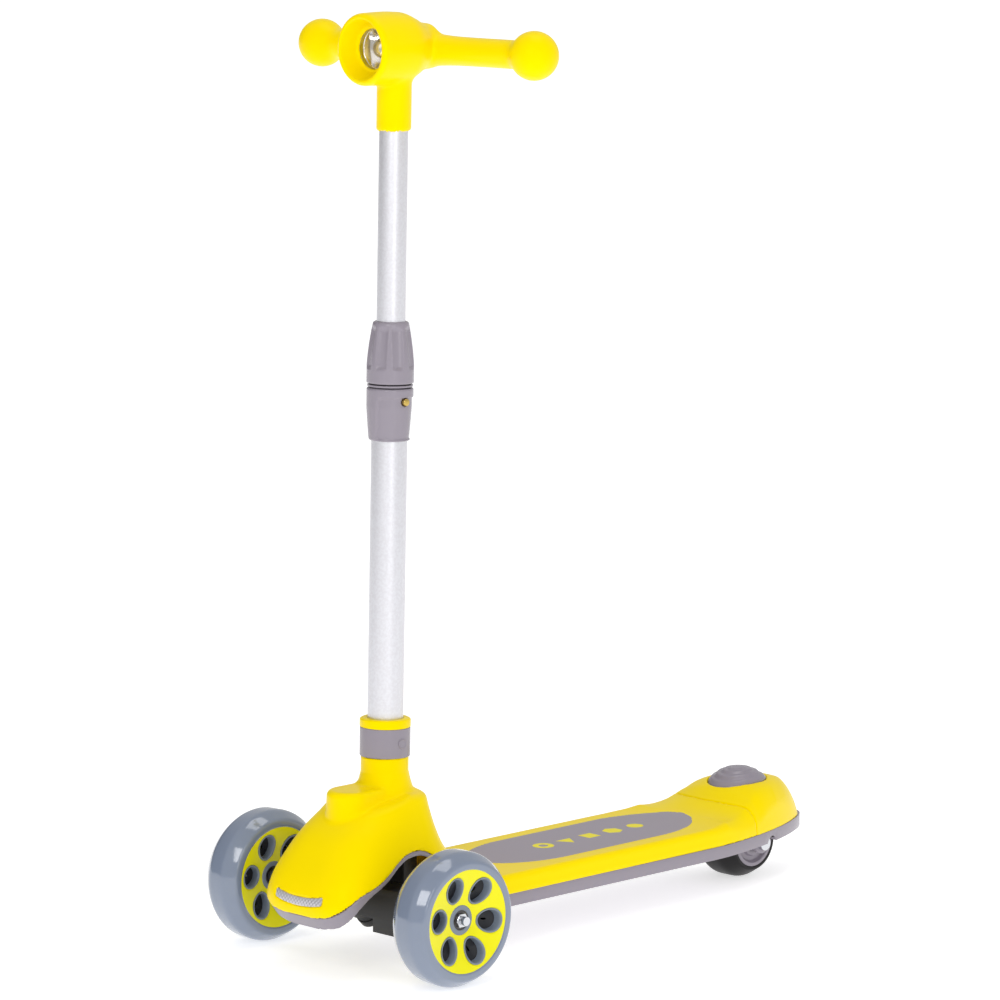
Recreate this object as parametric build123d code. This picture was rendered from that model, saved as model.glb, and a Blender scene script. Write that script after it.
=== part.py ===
from build123d import *
import math
import os

# A children's kick scooter: two wide front wheels on a lean-to-steer truck, one rear wheel
# under a press-down brake, and a height-adjustable T-bar with a lamp in its head.
# Millimetres. +Z up, -Y forward, +X the rider's left. The origin is on the floor, at the
# middle of the scooter's length and width.

# --- driving dimensions ---
FRONT_WHEEL_R = 60.0
FRONT_WHEEL_WIDTH = 40.0
FRONT_WHEEL_X = 122.0
FRONT_AXLE_Y = -250.0
REAR_WHEEL_R = 36.0
REAR_WHEEL_HALF = 26.0
REAR_AXLE_Y = 238.0
AXLE_R = 4.0

NOSE_TIP_Y = -322.0
TAIL_TIP_Y = 322.0
DECK_HALF_WIDTH = 64.0
DECK_TOP = 68.0
SEAM_Z = 50.5
BASE_BOTTOM = 39.0
WALL = 2.6
FIT = 0.05                      # radial clearance of a shaft or tube in its bore
GAP = 0.4                       # gap round a moving button or pedal

COLUMN_Y = -220.6               # where the column's axis meets the floor
COLUMN_RAKE = 1.65              # degrees, leaning back
LOWER_TUBE_R = 15.9
UPPER_TUBE_R = 12.7
TUBE_WALL = 1.5
NECK_R = 21.2
COLLAR_BOTTOM, COLLAR_TOP = 463.0, 509.5
NUT_BOTTOM, NUT_TOP = 513.5, 568.0
SLEEVE_BOTTOM = 734.0

KINGPIN_TILT = 45.0             # degrees from vertical, leaning forward
KINGPIN_R = 5.0
BOSS_HALF = 14.0
BUSH_THICK = 7.0
LUG_THICK = 7.0

BAR_Y, BAR_Z = -160.1, 803.2    # centre line of the T-bar's arms
BARREL_R, BARREL_Z = 31.5, 806.2
BARREL_FRONT_Y = -239.0
BALL_X, BALL_R = 134.7, 21.4
ARM_R = 12.5

PEDAL_Y, PEDAL_TOP = 240.5, 105.0
PEDAL_TRAVEL = 4.0
PEDAL_SEMI_X, PEDAL_SEMI_Y = 28.0, 31.5

BASE = (Align.CENTER, Align.CENTER, Align.MIN)
COLUMN = Location((0, COLUMN_Y, 0), (-COLUMN_RAKE, 0, 0))
KINGPIN = Location((0, FRONT_AXLE_Y, FRONT_WHEEL_R), (KINGPIN_TILT, 0, 0))


# --- helpers ---
def save(name, *shapes):
    solids = [solid for shape in shapes for solid in shape.solids()]
    export_step(solids[0] if len(solids) == 1 else Compound(children=solids), f"parts/{name}.step")


def post(radius, low, high, inner=0.0):
    """A cylinder, or a tube, up +Z from low to high."""
    shape = Pos(0, 0, low) * Cylinder(radius, high - low, align=BASE)
    if inner:
        shape -= Pos(0, 0, low - 1) * Cylinder(inner, high - low + 2, align=BASE)
    return shape


def taper(low_radius, high_radius, low, high):
    return Pos(0, 0, low) * Cone(low_radius, high_radius, high - low, align=BASE)


def box(x0, x1, y0, y1, z0, z1):
    return Pos((x0 + x1) / 2, (y0 + y1) / 2, (z0 + z1) / 2) * Box(x1 - x0, y1 - y0, z1 - z0)


def along_x(shape, y=0.0, z=0.0):
    """Turn a shape built up +Z so that it runs along +X."""
    return Pos(0, y, z) * Rot(0, 90, 0) * shape


def along_y(shape, x=0.0, z=0.0):
    """Turn a shape built up +Z so that it runs along +Y."""
    return Pos(x, 0, z) * Rot(-90, 0, 0) * shape


def both_sides(shape):
    return [shape, mirror(shape, about=Plane.YZ)]


def side_prism(points, half_width=80.0):
    """A closed outline in Y and Z, made a prism across X."""
    face = make_face(Plane.YZ * Polyline(*points, close=True))
    return extrude(face, amount=half_width, both=True)


# --- deck ---
def deck_outline(inset=0.0):
    """The deck in plan: square across the front, straight sides, a round tail."""
    width = DECK_HALF_WIDTH - inset
    tip = TAIL_TIP_Y - inset
    front = FRONT_AXLE_Y + 55 + inset
    side = [(45 - inset, front), (width - 1.5, front + 28), (width, 145)]
    tail = Bezier((width, 145), (width, 205), (30 - inset / 2, tip), (0, tip))
    half = Polyline((0, front), *side) + tail
    return make_face(half + mirror(half, about=Plane.YZ))


def deck_height(inset=0.0):
    """The yellow shell from the side: flat, then a hump over the rear wheel."""
    front = FRONT_AXLE_Y + 75 + inset
    top = DECK_TOP - inset
    bottom = SEAM_Z - (1 if inset else 0)
    tip = TAIL_TIP_Y - inset
    crest = [(195, top + 9), (225, top + 22.5), (262, top + 29.5), (300, top + 20)]
    rise = [(145, top), *crest, (tip, bottom)]
    hump = Plane.YZ * Spline(*rise, tangents=[(1, 0), (0.1, -1)])
    floor = Plane.YZ * Polyline((tip, bottom), (front, bottom), (front, top), (145, top))
    return extrude(make_face(hump + floor), amount=80, both=True)


def yellow_skin():
    outer = Pos(0, 0, SEAM_Z) * extrude(deck_outline(), amount=60) & deck_height()
    inner = Pos(0, 0, SEAM_Z - 1) * extrude(deck_outline(WALL), amount=60) & deck_height(WALL)
    return outer - inner


SPLIT_MIDDLE_Y, SPLIT_SIDE_Y = 194.0, 213.0
PAD_FRONT, PAD_REAR = -106.0, 166.0
PAD_HALF, PAD_END = 45.5, 76.0
PAD_DEEP = 2.0


def pad_outline(inset=0.0):
    front, rear = PAD_FRONT + PAD_END, PAD_REAR - PAD_END
    ends = [Pos(0, y) * Ellipse(PAD_HALF - inset, PAD_END - inset) for y in (front, rear)]
    middle = Pos(0, (front + rear) / 2) * Rectangle(2 * (PAD_HALF - inset), rear - front)
    return ends[0] + ends[1] + middle


def pad_shapes():
    """Five plain signs in a row along the pad."""
    ring = Circle(10) - Circle(4.5)
    signs = [ring, RegularPolygon(10.5, 3), Rectangle(15, 15), RegularPolygon(10, 6), Circle(8)]
    return [Pos(0, -18 + 30 * i) * sign for i, sign in enumerate(signs)]


def tail_side(gap=0.0):
    """Everything behind the curved seam between the deck's top and the tail cover."""
    middle, side = SPLIT_MIDDLE_Y + gap, SPLIT_SIDE_Y + gap
    seam = ThreePointArc((-62, side), (0, middle), (62, side))
    rest = Polyline((62, side), (80, side), (80, 340), (-80, 340), (-80, side), (-62, side))
    return extrude(make_face(seam + rest), amount=130)


def deck_top_shell(skin):
    front = skin - tail_side()
    plinth = Pos(0, 0, DECK_TOP - WALL - PAD_DEEP) * extrude(pad_outline(-3), amount=PAD_DEEP + 1)
    recess = Pos(0, 0, DECK_TOP - PAD_DEEP) * extrude(pad_outline(), amount=10)
    return front + plinth - recess


def deck_pad():
    pad = Pos(0, 0, DECK_TOP - PAD_DEEP) * extrude(pad_outline(0.1), amount=PAD_DEEP + 0.2)
    for sign in pad_shapes():
        pad -= Pos(0, 0, DECK_TOP - 0.6) * extrude(sign, amount=2)
    return pad


def pad_marks():
    return [Pos(0, 0, DECK_TOP - 0.6) * extrude(sign, amount=1.0) for sign in pad_shapes()]


def tail_cover(skin):
    cover = skin & tail_side(0.2)
    mouth = Pos(0, PEDAL_Y) * Ellipse(PEDAL_SEMI_X, PEDAL_SEMI_Y)
    cover -= Pos(0, 0, 70) * extrude(mouth, amount=50)
    x, y = TAIL_SCREW
    return cover + Pos(x, y, 0) * (post(4.5, SEAM_Z + 0.1, 86) - post(1.65, 50, 59))


CHEEK_IN, CHEEK_OUT, CHEEK_TOP = 30.0, 36.0, 64.0


def wheel_cheek():
    """A lug beside the rear wheel that holds the axle and a brake spring."""
    tall = box(CHEEK_IN, CHEEK_OUT, REAR_AXLE_Y - 10, REAR_AXLE_Y + 10, REAR_WHEEL_R, CHEEK_TOP)
    foot = along_x(post(10, CHEEK_IN, CHEEK_OUT), REAR_AXLE_Y, REAR_WHEEL_R)
    bore = along_x(post(AXLE_R + FIT, 20, 50), REAR_AXLE_Y, REAR_WHEEL_R)
    return tall + foot - bore


SCREW_Y = (-130, -35, 60, 150)
SCREW_X = 54.0
TAIL_SCREW = (0.0, 299.0)


def deck_base():
    """The grey lower tray with ribs, screw bosses, the wheel well and the axle lugs."""
    tray = Pos(0, 0, BASE_BOTTOM) * extrude(deck_outline(), amount=SEAM_Z - BASE_BOTTOM)
    tray -= Pos(0, 0, BASE_BOTTOM + WALL) * extrude(deck_outline(WALL), amount=20)
    for x in (-22, 22):
        tray += box(x - 1.2, x + 1.2, -150, 190, BASE_BOTTOM, SEAM_Z - 0.2)
    for y in (-60, 35, 130):
        tray += box(-60, 60, y - 1.2, y + 1.2, BASE_BOTTOM, SEAM_Z - 2)
    for x, y in screw_places():
        tray += Pos(x, y, 0) * post(4.5, BASE_BOTTOM, SEAM_Z)
        tray -= Pos(x, y, 0) * (post(1.7, 30, 60) + post(3.4, 30, BASE_BOTTOM + 2.5))
    tray -= box(-CHEEK_IN, CHEEK_IN, REAR_AXLE_Y - 41, REAR_AXLE_Y + 41, 30, 60)
    tray -= box(-31, 31, -200, -185, BASE_BOTTOM + WALL, 60)
    tray += both_sides(wheel_cheek())
    tray -= both_sides(along_x(post(9, CHEEK_OUT, 70), REAR_AXLE_Y, REAR_WHEEL_R))
    tray -= at_rear(post(AXLE_R + FIT, -50, 50))
    for x, y in flange_bolts():
        tray -= Pos(x, y, 0) * post(3, 30, 50)
    return tray


def screw_places():
    return [(side * SCREW_X, y) for y in SCREW_Y for side in (-1, 1)] + [TAIL_SCREW]


def deck_screws():
    return [Pos(x, y, 0) * (post(1.6, BASE_BOTTOM + 1, 58) + post(3.2, BASE_BOTTOM, BASE_BOTTOM + 2.4))
            for x, y in screw_places()]


def screw_sockets():
    """Posts inside the yellow shell that the deck screws bite into."""
    places = screw_places()[:-1]
    sockets = [Pos(x, y, 0) * post(4.5, SEAM_Z + 0.1, DECK_TOP - 2) for x, y in places]
    holes = [Pos(x, y, 0) * post(1.65, 50, 59) for x, y in places]
    return sockets, holes


# --- nose ---
# height, half width, reach ahead of and behind the column, squareness ahead and behind
NOSE_SECTIONS = [
    (50, 64.5, 100.0, 84, 4.0, 3.0),
    (62, 66.0, 103.2, 80, 4.0, 3.0),
    (80, 65.0, 99.0, 66, 3.8, 2.6),
    (102, 60.0, 85.0, 44, 3.4, 2.2),
    (122, 51.0, 68.0, 35, 3.0, 2.0),
    (140, 41.0, 46.0, 31, 2.4, 2.0),
    (150, 33.0, 35.0, 28, 2.1, 2.0),
    (158, 24.0, 25.0, 23, 2.0, 2.0),
    (164, 21.2, 21.2, 21.2, 2.0, 2.0),
]
OUTLINE_STEPS = 28


def column_y(z):
    return COLUMN_Y + z * math.tan(math.radians(COLUMN_RAKE))


def nose_outline(z, half_width, ahead, behind, square_ahead, square_behind, inset=0.0):
    """A rounded outline about the column at one height."""
    points = []
    for step in range(OUTLINE_STEPS):
        turn = 2 * math.pi * step / OUTLINE_STEPS
        across, along = math.cos(turn), math.sin(turn)
        power = 2 / (square_behind if along > 0 else square_ahead)
        reach = (behind if along > 0 else ahead) - inset
        x = math.copysign(abs(across) ** power, across) * (half_width - inset)
        y = math.copysign(abs(along) ** power, along) * reach
        points.append((x, column_y(z) + y, z))
    return make_face(Spline(*points, periodic=True))


def nose_form(inset=0.0):
    rows = NOSE_SECTIONS
    if inset:
        rows = [row for row in NOSE_SECTIONS if row[0] < 155]
    return loft([nose_outline(*row, inset=inset) for row in rows], ruled=True)


def nose_knob(inset=0.0):
    """The rounded boss that stands out of the nose ahead of the neck."""
    radius = 22 - inset
    knob = Pos(0, column_y(140) - 43, 0) * post(radius, 112, 153 - inset)
    bridge = box(-radius, radius, column_y(140) - 43, column_y(140), 112, 153 - inset)
    return knob + bridge


ARCH = [(-340, 40), (-340, 51), (-322, 51), (-319, 58), (-310, 67), (-275, 86), (-241, 107),
        (-226, 107), (-200, 90), (-178, 68.2), (-60, 68.2), (-60, 40)]
RING_BOTTOM, RING_TOP, CAP_TOP = 182.0, 208.0, 216.0
SOCKET_R = 19.0


def nose_cover():
    cover = nose_form() + nose_knob() + COLUMN * post(NECK_R, 150, RING_BOTTOM)
    cover += COLUMN * post(SOCKET_R + 1.3, 160, RING_TOP)
    cover -= nose_form(WALL) + nose_knob(WALL)
    cover -= COLUMN * post(SOCKET_R + 0.1, 90, 230)
    cover -= side_prism(ARCH)
    cover -= COLUMN * Pos(0, 0, 195) * Rot(0, 90, 0) * post(4.5 + GAP, 15, 30)
    return cover - reflector_form(0.0)


def reflector_form(inset):
    """The strip let into the front of the nose, bent up a little at its ends."""
    reach, half, low, high = 1.2, 30 - inset, 63.0 + inset, 71.0 - inset
    strip = Plane.XZ * Polyline((-half, low + 3), (0, low), (half, low + 3), (half, high + 3),
                                (0, high), (-half, high + 3), close=True)
    slab = Pos(0, NOSE_TIP_Y + 12, 0) * extrude(make_face(strip), amount=30)
    skin = nose_form(0.6) - nose_form(0.6 + reach)
    return slab & skin


def nose_trim():
    """The grey lip under the front of the nose."""
    low = (42.5, 54, 91, 60, 3.2, 3.0)
    high = (51, 63.5, 100, 60, 4.0, 3.0)
    outer = loft([nose_outline(*low), nose_outline(*high)], ruled=True)
    inner = loft([nose_outline(*low, inset=WALL), nose_outline(*high, inset=WALL)], ruled=True)
    lip = outer - Pos(0, 0, 2) * inner
    return lip & box(-80, 80, -340, FRONT_AXLE_Y - 38, 0, 50.9)


# --- steering ---
def steering_block():
    """The casting that holds the column, the kingpin and the front of the deck."""
    y = FRONT_AXLE_Y
    lug_low, lug_high = BOSS_HALF + 0.4 + BUSH_THICK + 0.1, BOSS_HALF + 0.5 + BUSH_THICK + LUG_THICK
    block = box(-20, 20, y - 30, y + 53, 87, 104) + box(-20, 20, y + 38, y + 54, 33, 104)
    block += box(-11, 11, y + 20, y + 40, 34, 48)
    block += box(-30, 30, y + 50, y + 98, BASE_BOTTOM + WALL + 0.05, 48)
    block += COLUMN * post(SOCKET_R, 90, RING_TOP)
    block += KINGPIN * (post(14, lug_low, lug_high + 6) + post(14, -lug_high, -lug_low))
    block -= KINGPIN * post(13.2, -lug_low, lug_low)
    block -= COLUMN * post(LOWER_TUBE_R + FIT, 94, 240)
    block -= KINGPIN * post(KINGPIN_R + FIT, -60, 60)
    block -= KINGPIN * post(9, lug_high + 6, 60) + KINGPIN * post(9, -60, -lug_high)
    block -= COLUMN * Pos(0, 0, 195) * Rot(0, 90, 0) * post(2.5 + GAP, 12, 30)
    for x, bolt_y in flange_bolts():
        block -= Pos(x, bolt_y, 0) * post(2.6, 30, 60)
    return block


def flange_bolts():
    return [(x, FRONT_AXLE_Y + y) for x in (-24, 24) for y in (68, 88)]


def block_bolts():
    return [Pos(x, y, 0) * (post(2.5, BASE_BOTTOM + 1, 49) + post(4.5, 48.05, 52))
            for x, y in flange_bolts()]


def kingpin():
    reach = BOSS_HALF + 0.5 + BUSH_THICK + LUG_THICK
    return KINGPIN * (post(KINGPIN_R, -reach - 8, reach + 7) + post(8.5, reach + 6.05, reach + 11))


def kingpin_nut():
    reach = BOSS_HALF + 0.5 + BUSH_THICK + LUG_THICK
    hexagon = Pos(0, 0, -reach - 7) * extrude(RegularPolygon(8.5, 6), amount=6.9)
    return KINGPIN * (hexagon - post(KINGPIN_R + FIT, -60, 0))


def steering_bushes():
    low = BOSS_HALF + 0.4
    ring = post(13, low, low + BUSH_THICK, inner=KINGPIN_R + FIT)
    return [KINGPIN * ring, KINGPIN * mirror(ring, about=Plane.XY)]


BEAM_HALF = 97.0


def axle_beam():
    """The cross beam: a solid middle round the kingpin and an arm to each wheel."""
    y, z = FRONT_AXLE_Y, FRONT_WHEEL_R
    beam = box(-BEAM_HALF, BEAM_HALF, y - 13, y + 13, z - 13, z + 13)
    for x0, x1 in ((-84, -34), (34, 84)):
        beam += box(x0, x1, y - 13, y + 13, z - 25, z + 16)
    beam -= KINGPIN * (post(17, BOSS_HALF, 60) + post(17, -60, -BOSS_HALF))
    beam += KINGPIN * post(15, -BOSS_HALF, BOSS_HALF)
    beam -= KINGPIN * post(8 + FIT, -30, 30)
    for low, high in ((38, 120), (-120, -38)):
        beam -= along_x(post(AXLE_R + FIT, low, high), y, z)
    return beam


def kingpin_sleeve():
    return KINGPIN * post(8, -BOSS_HALF, BOSS_HALF, inner=KINGPIN_R + FIT)


# --- front wheels ---
HUB_R = 13.3
BEARING_R, BEARING_WIDE = 11.0, 7.0
FACE_R = 45.7
FACE_RIM, FACE_HUB = 19.2, 10.5   # half widths of the yellow faces at the rim and the hub
POCKET_R, POCKET_LONG, POCKET_WIDE = 30.0, 14.0, 11.8
POCKETS = 6
POCKET_TURN = -6.0
WEB = 2.0


def pocket_ring(outer, inner):
    """Six egg-shaped outlines round the hub, longer outwards."""
    rings = []
    for index in range(POCKETS):
        outline = Ellipse(POCKET_LONG - outer, POCKET_WIDE - outer)
        if inner is not None:
            outline -= Ellipse(POCKET_LONG - inner, POCKET_WIDE - inner)
        rings.append(Rot(0, 0, POCKET_TURN + 60 * index) * Pos(POCKET_R, 0) * outline)
    return rings


def dish(lift=0.0):
    """The solid under both dished wheel faces."""
    half = [(0, 0), (FACE_R + 0.2, 0), (FACE_R + 0.2, FACE_RIM + lift), (HUB_R, FACE_HUB + lift),
            (0, FACE_HUB + lift)]
    cup = revolve(make_face(Plane.XZ * Polyline(*half, close=True)), axis=Axis.Z)
    return cup + mirror(cup, about=Plane.XY)


def wheel_core():
    core = post(HUB_R, -FACE_HUB, FACE_HUB) + post(FACE_R, -WEB, WEB)
    core += post(FACE_R, -FACE_RIM + 2.6, FACE_RIM - 2.6, inner=FACE_R - 2.5)
    collars = [extrude(ring, amount=FACE_RIM, both=True) for ring in pocket_ring(0.1, 1.6)]
    core += [collar & dish(0.4) for collar in collars]
    core -= post(BEARING_R, FACE_HUB - BEARING_WIDE, 20) + post(BEARING_R, -20, BEARING_WIDE - FACE_HUB)
    return core - post(6.5, -20, 20)


def wheel_faces():
    skin = dish() - dish(-1.7) - post(HUB_R + 0.05, -30, 30)
    skin &= post(FACE_R, -30, 30)
    for hole in pocket_ring(0.05, None):
        skin -= extrude(hole, amount=40, both=True)
    return skin


def tyre(radius, half, bore, round_off):
    blank = fillet(post(radius, -half, half).edges(), round_off)
    return blank - post(bore, -half - 1, half + 1)


def bearings(offset):
    ring = post(BEARING_R - 0.02, offset - BEARING_WIDE, offset, inner=AXLE_R + FIT)
    return [ring, mirror(ring, about=Plane.XY)]


def front_wheel(side, name):
    def place(shape):
        return Pos(side * FRONT_WHEEL_X, FRONT_AXLE_Y, FRONT_WHEEL_R) * Rot(0, 90, 0) * shape
    half = FRONT_WHEEL_WIDTH / 2
    save(f"{name}_wheel_tyre", place(tyre(FRONT_WHEEL_R, half, FACE_R + 0.02, 11)))
    save(f"{name}_wheel_core", place(wheel_core()))
    save(f"{name}_wheel_faces", place(wheel_faces()))
    save(f"{name}_wheel_bearings", *[place(ring) for ring in bearings(FACE_HUB)])
    save(f"{name}_wheel_spacer", place(post(6, -3.4, 3.4, inner=AXLE_R + FIT)))


def stub_axle():
    shaft = post(AXLE_R, 40, 140)
    return along_x(shaft, FRONT_AXLE_Y, FRONT_WHEEL_R)


def axle_nut():
    low = FRONT_WHEEL_X + FACE_HUB + 0.3
    nut = Pos(0, 0, low) * extrude(RegularPolygon(7.5, 6), amount=5.6)
    nut -= post(AXLE_R + FIT, low - 1, low + 20)
    return along_x(nut, FRONT_AXLE_Y, FRONT_WHEEL_R)


def inner_spacer():
    sleeve = post(6.5, BEAM_HALF + 0.05, FRONT_WHEEL_X - FACE_HUB - 0.3, inner=AXLE_R + FIT)
    return along_x(sleeve, FRONT_AXLE_Y, FRONT_WHEEL_R)


# --- rear wheel and brake ---
REAR_BORE = 24.0


def at_rear(shape):
    return along_x(shape, REAR_AXLE_Y, REAR_WHEEL_R)


def rear_hub():
    half = REAR_WHEEL_HALF - 0.6
    hub = post(REAR_BORE - 0.02, -half, half)
    dent = post(19.5, half - 4, half + 5, inner=HUB_R)
    hub -= dent + mirror(dent, about=Plane.XY)
    hub -= post(BEARING_R, half - BEARING_WIDE, 40) + post(BEARING_R, -40, BEARING_WIDE - half)
    return hub - post(6.5, -40, 40)


def rear_bolt():
    shank = post(AXLE_R, -CHEEK_OUT - 5, CHEEK_OUT + 0.5)
    return at_rear(shank + post(6.5, CHEEK_OUT + 0.1, CHEEK_OUT + 4.5))


def rear_nut():
    nut = Pos(0, 0, -CHEEK_OUT - 5.5) * extrude(RegularPolygon(7.5, 6), amount=5.4)
    return at_rear(nut - post(AXLE_R + FIT, -60, 0))


def rear_spacers():
    sleeve = post(6.5, REAR_WHEEL_HALF - 0.3, CHEEK_IN - 0.05, inner=AXLE_R + FIT)
    return [at_rear(sleeve), at_rear(mirror(sleeve, about=Plane.XY))]


PEDAL_SEAT = 80.0


def brake_pedal():
    """The domed foot pad over the rear wheel, on a flange that keeps it in the cover."""
    top = Ellipse(PEDAL_SEMI_X - GAP, PEDAL_SEMI_Y - GAP)
    dome_r = 50.0
    pad = Pos(0, PEDAL_Y, PEDAL_SEAT) * extrude(top, amount=40)
    pad &= Pos(0, PEDAL_Y + 2, PEDAL_TOP - dome_r) * Sphere(dome_r)
    return pad + box(-36, 36, PEDAL_Y - 11, PEDAL_Y + 11, PEDAL_SEAT, PEDAL_SEAT + 4)


def brake_shoe():
    shoe = box(-18, 18, REAR_AXLE_Y - 18, REAR_AXLE_Y + 18, 70, PEDAL_SEAT - 0.05)
    gap = along_x(post(REAR_WHEEL_R + 0.6, -30, 30), REAR_AXLE_Y, REAR_WHEEL_R + PEDAL_TRAVEL)
    return shoe - gap


def brake_springs():
    coil = Pos(33, REAR_AXLE_Y, 0) * post(2.9, CHEEK_TOP + 0.05, PEDAL_SEAT - 0.05, inner=2.0)
    return both_sides(coil)


# --- column ---
def lower_tube():
    pin_hole = Pos(0, 0, 500) * Rot(0, 90, 0) * post(2.7, 5, 30)
    return COLUMN * (post(LOWER_TUBE_R, 94.2, COLLAR_TOP + 2, inner=LOWER_TUBE_R - TUBE_WALL) - pin_hole)


def collar_body():
    outer = taper(19, 21.5, COLLAR_BOTTOM, COLLAR_TOP - 12) + post(21.5, COLLAR_TOP - 12, COLLAR_TOP)
    outer = fillet(outer.edges().sort_by(Axis.Z)[0], 1.5)
    collar = outer - post(LOWER_TUBE_R, 400, 560)
    pocket = post(3.4 + 0.2, 10, 30) + post(4.6, 10, 19.4)
    return COLUMN * (collar - Pos(0, 0, 500) * Rot(0, 90, 0) * pocket)


def collar_ring():
    return COLUMN * post(20.6, COLLAR_TOP + 0.05, NUT_BOTTOM - 0.35, inner=LOWER_TUBE_R)


def tube_bush():
    """The split plastic sleeve that the nut squeezes onto the upper tube."""
    inside = post(LOWER_TUBE_R - TUBE_WALL - 0.02, 470, NUT_BOTTOM, inner=UPPER_TUBE_R + FIT)
    collet = post(15.3, COLLAR_TOP + 2.1, 545, inner=UPPER_TUBE_R + FIT)
    bush = inside + collet
    for turn in range(4):
        bush -= Rot(0, 0, 45 + 90 * turn) * box(10, 20, -0.8, 0.8, 520, 560)
    pin_way = Pos(0, 0, 500) * Rot(0, 90, 0) * post(2.7, 5, 30)
    return COLUMN * (bush - pin_way)


def twist_nut():
    nut = post(21.7, NUT_BOTTOM, NUT_BOTTOM + 14) + taper(21.7, 16.4, NUT_BOTTOM + 14, NUT_TOP)
    for turn in range(8):
        flute = Rot(0, 0, 45 * turn + 22.5) * Pos(25.4, 0, 0) * post(6, NUT_BOTTOM + 14, NUT_TOP + 1)
        nut -= flute
    nut -= post(15.3 + 0.1, 500, 548) + post(UPPER_TUBE_R + 0.1, 500, 600)
    return COLUMN * nut


def snap_button():
    stem = post(2.2, 14.6, 18.5)
    flange = post(4.2, 17.9, 19.1)
    head = fillet(post(3.4, 19.0, 22.6).edges().sort_by(Axis.Z)[-1], 1.4)
    return COLUMN * Pos(0, 0, 500) * Rot(0, 90, 0) * (stem + flange + head)


def neck_ring():
    ring = post(22.5, RING_BOTTOM + 0.05, RING_TOP, inner=SOCKET_R + 1.35)
    ring += Rot(0, 0, -12) * box(20.5, 22.8, -2.5, 2.5, RING_BOTTOM - 3, RING_BOTTOM + 2)
    window = Pos(0, 0, 195) * Rot(0, 90, 0) * post(4.5 + GAP, 15, 30)
    return COLUMN * (ring - window - post(NECK_R + 0.05, RING_BOTTOM - 10, RING_BOTTOM))


def neck_cap():
    cap = post(22.7, RING_TOP + 0.05, CAP_TOP, inner=LOWER_TUBE_R + 0.1)
    return COLUMN * fillet(cap.edges().sort_by(Axis.Z)[-2:], 1.5)


def release_button():
    return COLUMN * Pos(0, 0, 195) * Rot(0, 90, 0) * (post(2.5, 17.6, 20.7) + post(4.5, 20.6, 22.9))


# --- T-bar head ---
TUBE_TOP = 775.0
REAR_CAP_Y = -166.0


def bar_form(inset=0.0):
    """Barrel, arms, balls and sleeve as one solid."""
    barrel = along_y(post(BARREL_R - inset, BARREL_FRONT_Y + 15 * (inset > 0), -188), 0, BARREL_Z)
    rear = along_y(taper(BARREL_R - inset, 24 - inset, -188, REAR_CAP_Y), 0, BARREL_Z - 1)
    arms = along_x(post(ARM_R - inset, -BALL_X, BALL_X), BAR_Y, BAR_Z)
    roots = [along_x(taper(20 - inset, ARM_R - inset, 10, 60), BAR_Y, BAR_Z)]
    roots.append(mirror(roots[0], about=Plane.YZ))
    balls = [Pos(x, BAR_Y, BAR_Z) * Sphere(BALL_R - inset) for x in (-BALL_X, BALL_X)]
    back = along_y(post(24 - inset, REAR_CAP_Y - 6, REAR_CAP_Y + 12), 0, BARREL_Z - 1)
    form = barrel + rear + arms + roots[0] + roots[1] + balls[0] + balls[1]
    return form + (back if inset else along_y(post(24, -188, BAR_Y + 6), 0, BARREL_Z - 1))


def lamp_mouth():
    """The cone that opens forward from the lens."""
    return along_y(taper(27, 20, BARREL_FRONT_Y - 0.01, BARREL_FRONT_Y + 15), 0, BARREL_Z)


BAR_SCREWS = [(x, BAR_Z) for x in (-105, -60, 60, 105)]


def bar_shells():
    """The head and arms in two shells, screwed together from behind."""
    form = bar_form() + COLUMN * post(15.3, SLEEVE_BOTTOM, TUBE_TOP + 8)
    form -= bar_form(WALL)
    form += COLUMN * post(15.3, SLEEVE_BOTTOM, TUBE_TOP + 2) - COLUMN * post(UPPER_TUBE_R, 700, 790)
    form -= COLUMN * post(UPPER_TUBE_R, 700, TUBE_TOP + 2)
    for x, z in BAR_SCREWS:
        form += along_y(post(4, BAR_Y - ARM_R + 1, BAR_Y + ARM_R - 1), x, z)
        form -= along_y(post(1.6, BAR_Y - 8, BAR_Y + 30), x, z) + along_y(post(3.2, BAR_Y + 9, BAR_Y + 30), x, z)
    form -= lamp_mouth()
    form -= along_y(post(20.6, BARREL_FRONT_Y + 14.9, BARREL_FRONT_Y + 17.6), 0, BARREL_Z)
    form -= along_y(post(19.6, BAR_Y, BAR_Y + 30), 0, BARREL_Z - 1)
    front = form & box(-200, 200, -300, BAR_Y, 700, 850)
    back = form & box(-200, 200, BAR_Y + 0.05, -100, 700, 850)
    return front, back


def bar_screws():
    return [along_y(post(1.5, BAR_Y - 7, BAR_Y + 11) + post(3, BAR_Y + 9.05, BAR_Y + 11.5), x, z)
            for x, z in BAR_SCREWS]


def lamp_lens():
    return along_y(post(20.4, BARREL_FRONT_Y + 15, BARREL_FRONT_Y + 16.5), 0, BARREL_Z)


def lamp_reflector():
    y = BARREL_FRONT_Y + 17.7
    bowl = taper(6, 19.5, 0, 16) - Pos(0, 0, 1.2) * taper(6, 19.5, 0, 16) - post(3.2, -1, 20)
    return Pos(0, y + 16, BARREL_Z) * Rot(90, 0, 0) * bowl


def lamp_led():
    y = BARREL_FRONT_Y + 17.7 + 15.5
    bulb = post(2.9, -1.5, 4) + Pos(0, 0, 4) * Sphere(2.9)
    return Pos(0, y, BARREL_Z) * Rot(90, 0, 0) * bulb


def lamp_board():
    y = BARREL_FRONT_Y + 17.7 + 17.2
    return along_y(post(20, y, y + 1.6), 0, BARREL_Z)


def lamp_cells():
    y = BARREL_FRONT_Y + 17.7 + 19.5
    return [along_y(post(5.8, y + 5.7 * i, y + 5.7 * i + 5.4), 0, BARREL_Z) for i in range(3)]


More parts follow.
